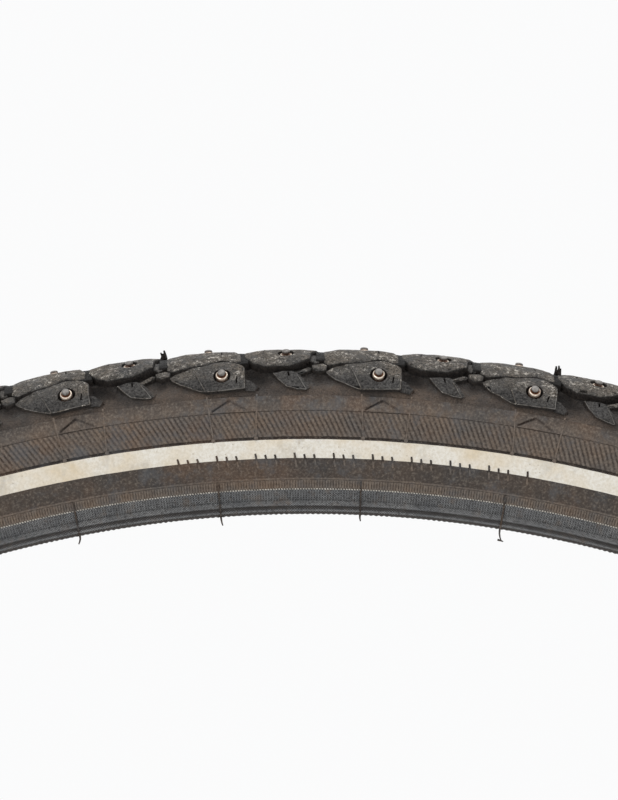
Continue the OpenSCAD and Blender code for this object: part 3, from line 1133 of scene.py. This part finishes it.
def stitch_line():
    """Short pale threads along the strip's top edge."""
    one = bar(from_side, ((0.003, 6.88), (0.014, 6.7)), 0.36, 0.32, -0.06, 0.8, 3, 0.3)
    pitch = 1 / FINE_RIBS
    out = []
    for k in range(FINE_RIBS):
        part = Patch(one.place, one.points + [k * pitch, 0, 0], one.faces, one.dust)
        out.append(repeated(part, 0, PITCHES))
    return out


# ---- Studs ----


def turned(u, phi, profile, dust, sides=24):
    """A piece of (radius, rho) rows, top first, turned round an axis that stands on the tread.

    Its dust-and-shade value is lower on the side away from the shoulder.
    """
    points, paint = [(u, phi, profile[0][1])], [dust[0]]
    for k, (radius, rho) in enumerate(profile[1:]):
        for j in range(sides):
            b = j / sides * 2 * math.pi
            stretch = CROWN_R / rho
            points.append((u + radius * math.cos(b) / PITCH_MM,
                           phi + radius * math.sin(b) / DEGREE_MM * stretch, rho))
            paint.append(dust[k + 1] * (0.84 + 0.16 * math.sin(b)))
    faces = round_faces(len(profile) - 1, sides)
    return outward(Patch(from_tread, points, faces, paint))


# Outlines from the top down, as radius and height over the crown, and the dust-and-shade value of each
# row: rust low on the bodies, painted shadow at the pins' foot
BODY = [(0.0, 0.3), (1.08, 0.3), (1.2, 0.42), (1.34, 0.52), (1.5, 0.46), (1.6, 0.26),
        (1.62, 0.0), (1.62, -0.6), (1.6, -1.4), (1.6, -2.3)]
BODY_DUST = [0.0, 0.0, 0.7, 1.0, 1.0, 0.9, 0.6, 0.2, 0.0, 0.0]
PIN = [(0.0, 1.3), (0.6, 1.27), (0.9, 1.17), (1.04, 0.98), (1.05, 0.7), (0.98, 0.3)]
PIN_SHADE = [1.0, 1.0, 0.9, 0.6, 0.2, 0.0]
# How far the front centre row's pins are worn in, how many times as far their bodies, and how
# far every pin sits nearer the crown than its body
WORN_IN, BODY_TIMES, PIN_SLIP = 0.55, 1.6, 0.3


def stud(place, profile, dust, sunk, slip=0.0):
    """A stud's body or pin, sunk and slipped towards the crown by some millimetres."""
    u, phi = place
    rows = [(r, CROWN_R + rho - sunk) for r, rho in profile]
    return turned(u, phi - slip / DEGREE_MM, rows, dust)


# ---- Flash left by the mould ----


def hair(points, radius):
    """A thin tapering tube of black rubber through (u, h, front) places."""
    sides = 6
    points = np.array(points, float)
    places, faces = [], []
    mm = np.array([PITCH_MM * 0.9, 1.0, 1.0])
    way = np.gradient(points * mm, axis=0)
    for k, (centre, go) in enumerate(zip(points, way)):
        go = go / np.linalg.norm(go)
        side = np.cross(go, [0.13, 0.24, 0.96])
        side /= np.linalg.norm(side)
        other = np.cross(go, side)
        size = radius * (1 - 0.55 * k / (len(points) - 1))
        for j in range(sides):
            b = j / sides * 2 * math.pi
            places.append(centre + (side * math.cos(b) + other * math.sin(b)) * size / mm)
    for k in range(len(points) - 1):
        ring = np.arange(sides) + k * sides
        faces += belt(ring, ring + sides)
    faces.append(list(range(sides))[::-1])
    faces.append([(len(points) - 1) * sides + j for j in range(sides)])
    return Patch(from_section, places, faces, 0.0)


def bead_vents(shortest, longest):
    """A line per pitch across the bead, mostly with its vent's whisker."""
    out = []
    for k in range(PITCHES):
        random = np.random.default_rng(40 + k)
        u = k - 0.09 + random.uniform(-0.015, 0.015)
        lean = random.uniform(-0.01, 0.01)
        foot = u + lean
        ends = (u, 9.2), (foot, 1.3)
        out.append(bar(from_side, ends, 0.5, 0.34, 0.12, 0.1, steps=10, fade_over=0.05))
        if random.random() < 0.3 and 2 < k < PITCHES - 3:
            continue
        length = random.uniform(shortest, longest)
        bend = random.uniform(-0.5, 0.5) / PITCH_MM
        route = [(foot, 1.5, 11.2), (foot, 0.5, 10.9), (foot, -0.15, 10.3)]
        for t in (0.35, 0.7, 1.0):
            route.append((foot + bend * t * t * length, -length * t - 0.15, 10.2 - 0.2 * t))
        out.append(hair(route, 0.36))
        if k % 9 == 1 and longest > 1:
            u, h, front = route[-1]
            half = 1.1 / PITCH_MM
            cross = [(u - half, h + 0.1, front), (u, h, front), (u + half * 0.6, h - 0.15, front)]
            out.append(hair(cross, 0.3))
    return out


def crown_tufts():
    """Ragged threads of rubber standing on the crown of every third pitch."""
    top = CROWN_H + CROWN_R
    out = []
    for k in range(1, PITCHES, 3):
        random = np.random.default_rng(900 + k)
        u = k + (0.125 if k % 2 else 0.625) + random.uniform(-0.02, 0.02)
        front = random.uniform(-3, 3)
        lean = random.uniform(-1, 1)
        for strand in range(4):
            height = random.uniform(0.9, 2.4)
            away = lean + random.uniform(-0.8, 0.8)
            route = [(u + strand * 0.35 / PITCH_MM + away * t * t / PITCH_MM,
                      top - 0.6 + height * t, front + random.uniform(-0.3, 0.3))
                     for t in (0, 0.35, 0.7, 1.0)]
            out.append(hair(route, 0.45))
    return out


# ---- The pieces ----

PER_SECTOR = PITCHES // SECTORS
tread = tread_rubber()
wall = sidewall_rubber()
strip = strip_weave()
film = stripe_film()
blocks = pitch_blocks()


def in_sectors(name, build, material, slot, replaced, **how):
    """The front of a piece in sectors, and its back in one ring."""
    for k in range(SECTORS):
        patches = [(p, False) for p in build(k * PER_SECTOR, PER_SECTOR)]
        ob = make(f"{name}_front_{k + 1}", patches, material, slot, **how)
        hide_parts(f"{replaced}_front")
    ob = make(f"{name}_back", [(p, True) for p in build(0, PITCHES)], material, slot, **how)
    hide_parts(f"{replaced}_back")


def block_row(row):
    return lambda first, count: [repeated(p, first, count) for p in blocks[row]]


for k in range(SECTORS):
    sheets = [(floor_sheet(k * PER_SECTOR, PER_SECTOR), False)]
    groove = make(f"groove_floor_{k + 1}", sheets, tread, "tread_rubber", rough=0.12, seed=3)
    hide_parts("tread_cap")
for row, name in (("centre", "centre_blocks"), ("shoulder", "shoulder_blocks"), ("lug", "side_lugs")):
    in_sectors(name, block_row(row), tread, "tread_rubber", name, angle=32, rough=0.19, seed=5)


def sidewall(first, count):
    return side_patches(first, count) + [repeated(p, first, count) for p in mould_lines()]


in_sectors("sidewall", sidewall, wall, "sidewall_rubber", "sidewall", rough=0.04, seed=8)
in_sectors("rim_strip", lambda first, count: [strip_sheet(first, count)], strip, "rim_strip",
           "rim_strip", rough=0.02, seed=9)

thread = stitch_thread()
steel = stud_steel()
carbide = stud_carbide()
for side, mirrored in (("front", False), ("back", True)):
    stripe = plain_side(0, PITCHES, 24, np.linspace(*STRIPE, 8), 0.02, 0.5)
    ob = make(f"reflective_stripe_{side}", [(stripe, mirrored)], film, "reflective", rough=0.05, seed=11)
    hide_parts(f"reflective_stripe_{side}")
    whiskers = (0.2, 0.6) if mirrored else (1.3, 3.0)
    flash = bead_vents(*whiskers) + size_ticks()
    make(f"mould_flash_{side}", [(p, mirrored) for p in flash], wall, "sidewall_rubber", rough=0.03)
    make(f"strip_stitches_{side}", [(p, mirrored) for p in stitch_line()], thread, "rim_strip")
    for row, place in (("centre", CENTRE_STUD), ("shoulder", SHOULDER_STUD)):
        sunk = WORN_IN if row == "centre" and not mirrored else 0.0
        body = repeated(stud(place, BODY, BODY_DUST, BODY_TIMES * sunk), 0, PITCHES)
        ob = make(f"{row}_stud_bodies_{side}", [(body, mirrored)], steel, "stud_steel", angle=40)
        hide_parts(f"{row}_stud_bodies_{side}")
        pin = repeated(stud(place, PIN, PIN_SHADE, sunk, PIN_SLIP), 0, PITCHES)
        ob = make(f"{row}_stud_pins_{side}", [(pin, mirrored)], carbide, "stud_carbide", angle=60)
        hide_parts(f"{row}_stud_pins_{side}")
make("crown_tufts", [(p, False) for p in crown_tufts()], tread, "tread_rubber")

# ---- CAD nodes that stay ----

inner = inner_rubber()
outer_cords = cord_fabric("casing_cords", (84, 70, 50), (142, 122, 88), 1.0)
inner_cords = cord_fabric("liner_cords", (88, 74, 54), (150, 130, 96), -1.0)
belt_cords = cord_fabric("belt_weave", (22, 48, 84), (44, 84, 130), 1.4)
wire = bead_steel()
for name, material in (("tread_base", inner), ("puncture_belt", belt_cords),
                       ("casing_ply_outer", outer_cords), ("casing_ply_inner", inner_cords),
                       ("bead_filler_front", inner), ("bead_filler_back", inner),
                       ("bead_wire_front", wire), ("bead_wire_back", wire)):
    node = frame["nodes"][name]
    node.data.materials.clear()
    node.data.materials.append(material)

# ---- Floor, light and camera ----

TYRE_BOTTOM = cad_bounds[0][2]
FLOOR_REACH = 2.0
corners = [(x * FLOOR_REACH, y * FLOOR_REACH, TYRE_BOTTOM)
           for x, y in ((-1, -1), (1, -1), (1, 1), (-1, 1))]
plane = bpy.data.meshes.new("studio_floor")
plane.from_pydata(corners, [], [(0, 1, 2, 3)])
plane.materials.append(studio_floor())
ground = bpy.data.objects.new("studio_floor", plane)
bpy.context.collection.objects.link(ground)


def softbox(name, place, aim, size, power):
    """A rectangular lamp at a place, turned to a point."""
    light = bpy.data.lights.new(name, "AREA")
    light.shape = "RECTANGLE"
    light.size, light.size_y = size
    light.energy = power
    ob = bpy.data.objects.new(name, light)
    ob.location = place
    ob.rotation_euler = (Vector(aim) - Vector(place)).to_track_quat("-Z", "Y").to_euler()
    bpy.context.collection.objects.link(ob)


softbox("key", (-0.8, -1.2, 1.7), (0, 0, 0.2), (0.7, 0.7), 9)
softbox("top", (0.3, 0.1, 2.0), (0, 0, 0.2), (1.2, 0.8), 9)

world = bpy.data.worlds.new("studio")
world.use_nodes = True
backdrop = world.node_tree.nodes["Background"].inputs
backdrop["Color"].default_value = (0.965, 0.967, 0.97, 1)
backdrop["Strength"].default_value = 1.0
scene = bpy.context.scene
scene.world = world
scene.view_settings.view_transform = "Standard"

CAMERA_DISTANCE, AIM_HEIGHT, LENS = 0.75, 0.3402, 128.6
LOOK_DOWN = math.radians(2.3)
camera = bpy.data.objects.new("camera", bpy.data.cameras.new("camera"))
camera.data.lens = LENS
camera.data.sensor_width = 36
camera.data.clip_start = 0.01
camera.location = (0, -CAMERA_DISTANCE * math.cos(LOOK_DOWN),
                   AIM_HEIGHT + CAMERA_DISTANCE * math.sin(LOOK_DOWN))
camera.rotation_euler = (math.pi / 2 - LOOK_DOWN, 0, 0)
bpy.context.collection.objects.link(camera)
scene.camera = camera
